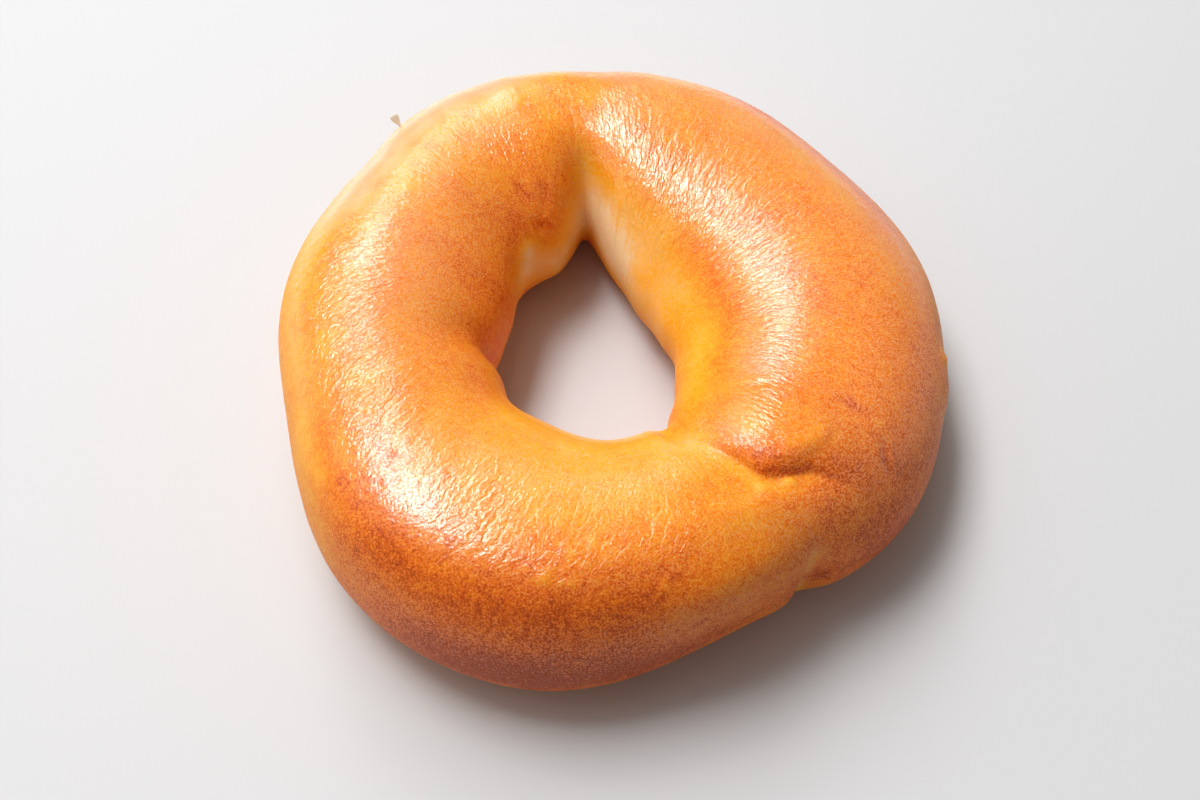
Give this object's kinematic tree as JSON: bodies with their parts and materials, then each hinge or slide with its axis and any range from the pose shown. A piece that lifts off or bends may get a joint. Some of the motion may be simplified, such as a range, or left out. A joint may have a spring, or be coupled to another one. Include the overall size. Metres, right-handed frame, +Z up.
{
  "type": "bagel",
  "caption": "Plain baked bagel: an uneven ring of bread with a glossy golden-brown crust, a rounded three-cornered hole, a pinch and an overlapping lip where the rope was joined.",
  "frame": {"origin": "on the surface the bagel lies on, under the middle of its outline", "axes": "+Z up through the height of the lying ring, +Y along its longest width, from the bottom of the rounded three-cornered hole towards its pinched point, +X across"},
  "size_m": [0.103, 0.1096, 0.0298],
  "materials": {
    "crust": "golden-brown baked crust, glossy on top and duller at the sides, finely speckled and wrinkled, paler in the hole and underneath"
  },
  "bodies": {
    "root": {"bagel": "crust"}
  },
  "joints": []
}
